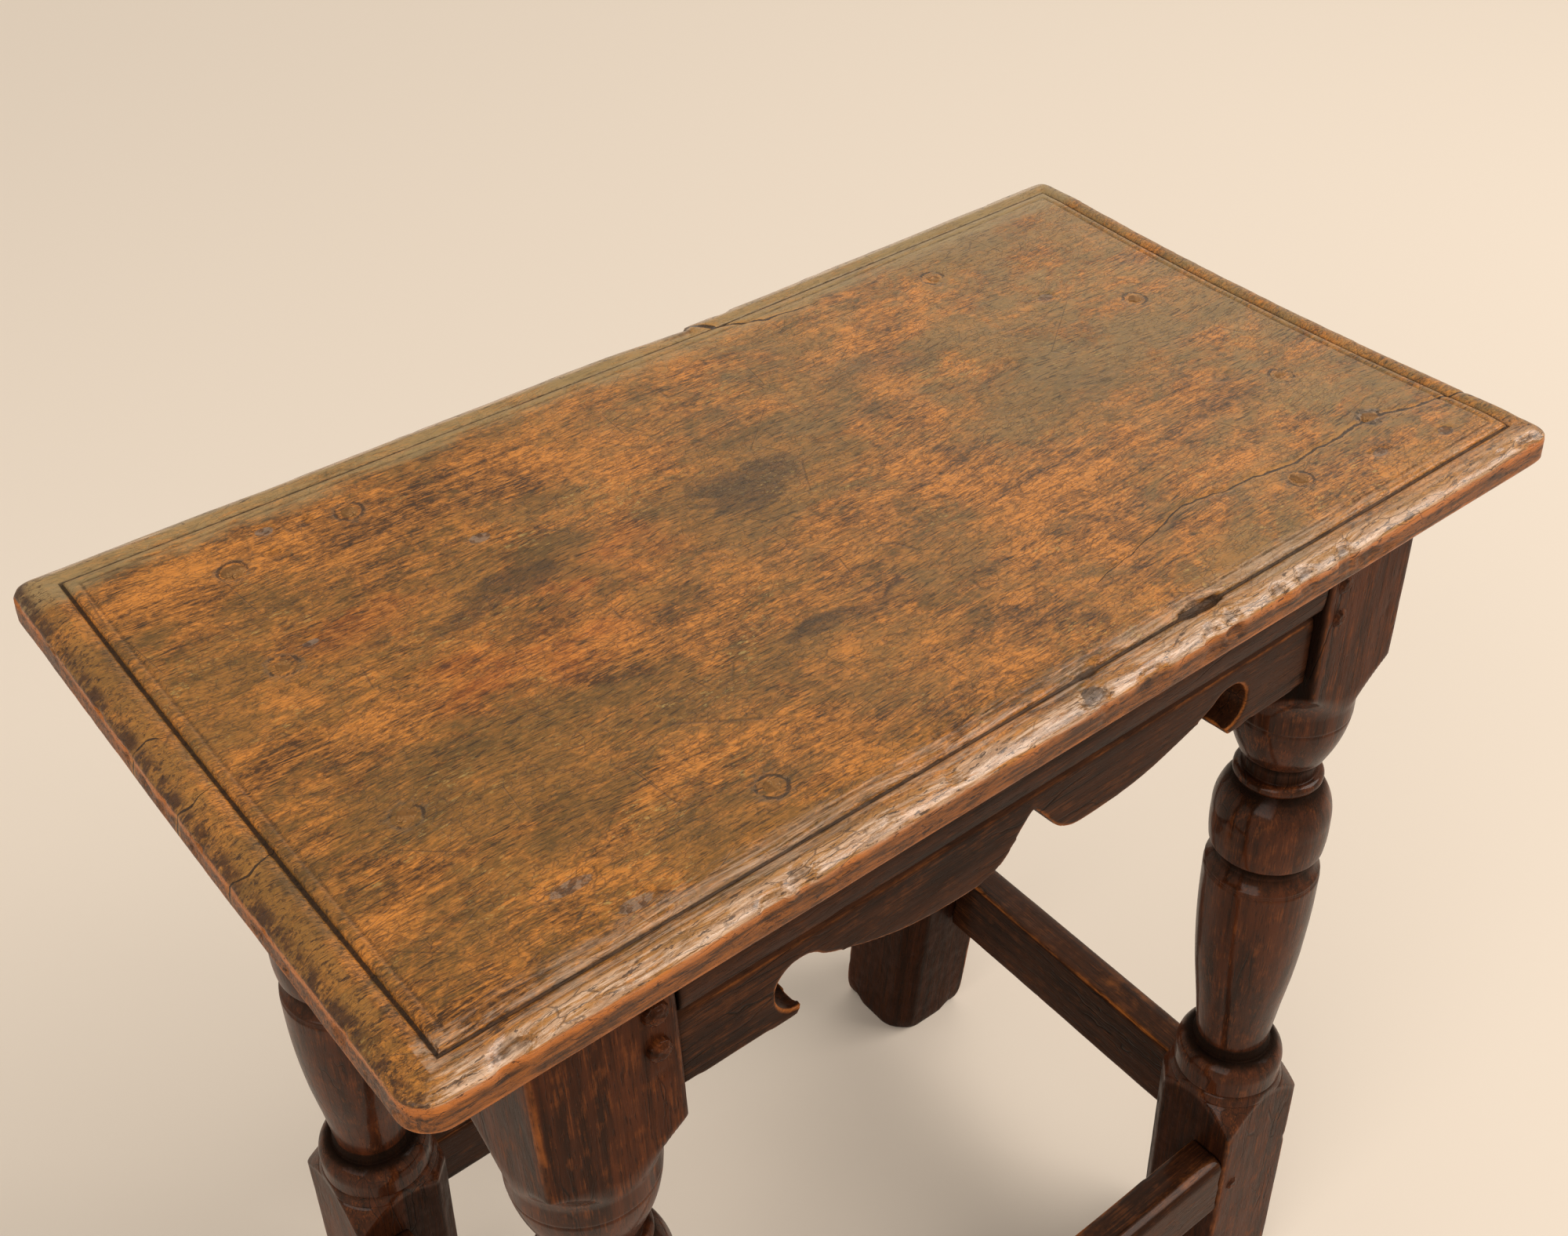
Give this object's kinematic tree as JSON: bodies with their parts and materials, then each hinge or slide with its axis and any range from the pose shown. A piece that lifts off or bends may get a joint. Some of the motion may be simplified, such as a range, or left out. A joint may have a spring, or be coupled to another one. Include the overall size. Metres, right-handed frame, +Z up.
{
  "type": "joint stool",
  "caption": "Period oak joint stool: moulded plank top on splayed turned legs, with shaped aprons above and plain stretchers below, pegged together.",
  "frame": {"origin": "on the floor, under the middle of the seat", "axes": "+Z up, +X along the length of the seat, -Y towards the front"},
  "size_m": [0.4566, 0.2748, 0.495],
  "materials": {
    "oak_top": "old waxed oak, amber brown, worn and dented",
    "oak_legs": "very dark waxed oak with worn arrises",
    "oak_aprons": "very dark waxed oak with reddish streaks",
    "oak_stretchers": "dark oak, worn grey brown on the upper edge",
    "top_pegs": "dark end grain, level with the top",
    "frame_pegs": "dark whittled oak, end grain showing"
  },
  "bodies": {
    "root": {"apron_back": "oak_aprons", "apron_front": "oak_aprons", "apron_left": "oak_aprons", "apron_right": "oak_aprons", "leg_back_left": "oak_legs", "leg_back_right": "oak_legs", "leg_front_left": "oak_legs", "leg_front_right": "oak_legs", "peg_stretcher_back_left": "frame_pegs", "peg_stretcher_back_right": "frame_pegs", "peg_stretcher_front_left": "frame_pegs", "peg_stretcher_front_right": "frame_pegs", "peg_stretcher_left_back": "frame_pegs", "peg_stretcher_left_front": "frame_pegs", "peg_stretcher_right_back": "frame_pegs", "peg_stretcher_right_front": "frame_pegs", "pegs_apron_back_left": "frame_pegs", "pegs_apron_back_right": "frame_pegs", "pegs_apron_front_left": "frame_pegs", "pegs_apron_front_right": "frame_pegs", "pegs_apron_left_back": "frame_pegs", "pegs_apron_left_front": "frame_pegs", "pegs_apron_right_back": "frame_pegs", "pegs_apron_right_front": "frame_pegs", "pegs_top_apron_back": "top_pegs", "pegs_top_apron_front": "top_pegs", "pegs_top_apron_left": "top_pegs", "pegs_top_apron_right": "top_pegs", "pegs_top_legs": "top_pegs", "stretcher_back": "oak_stretchers", "stretcher_front": "oak_stretchers", "stretcher_left": "oak_stretchers", "stretcher_right": "oak_stretchers", "top_board": "oak_top"}
  },
  "joints": []
}
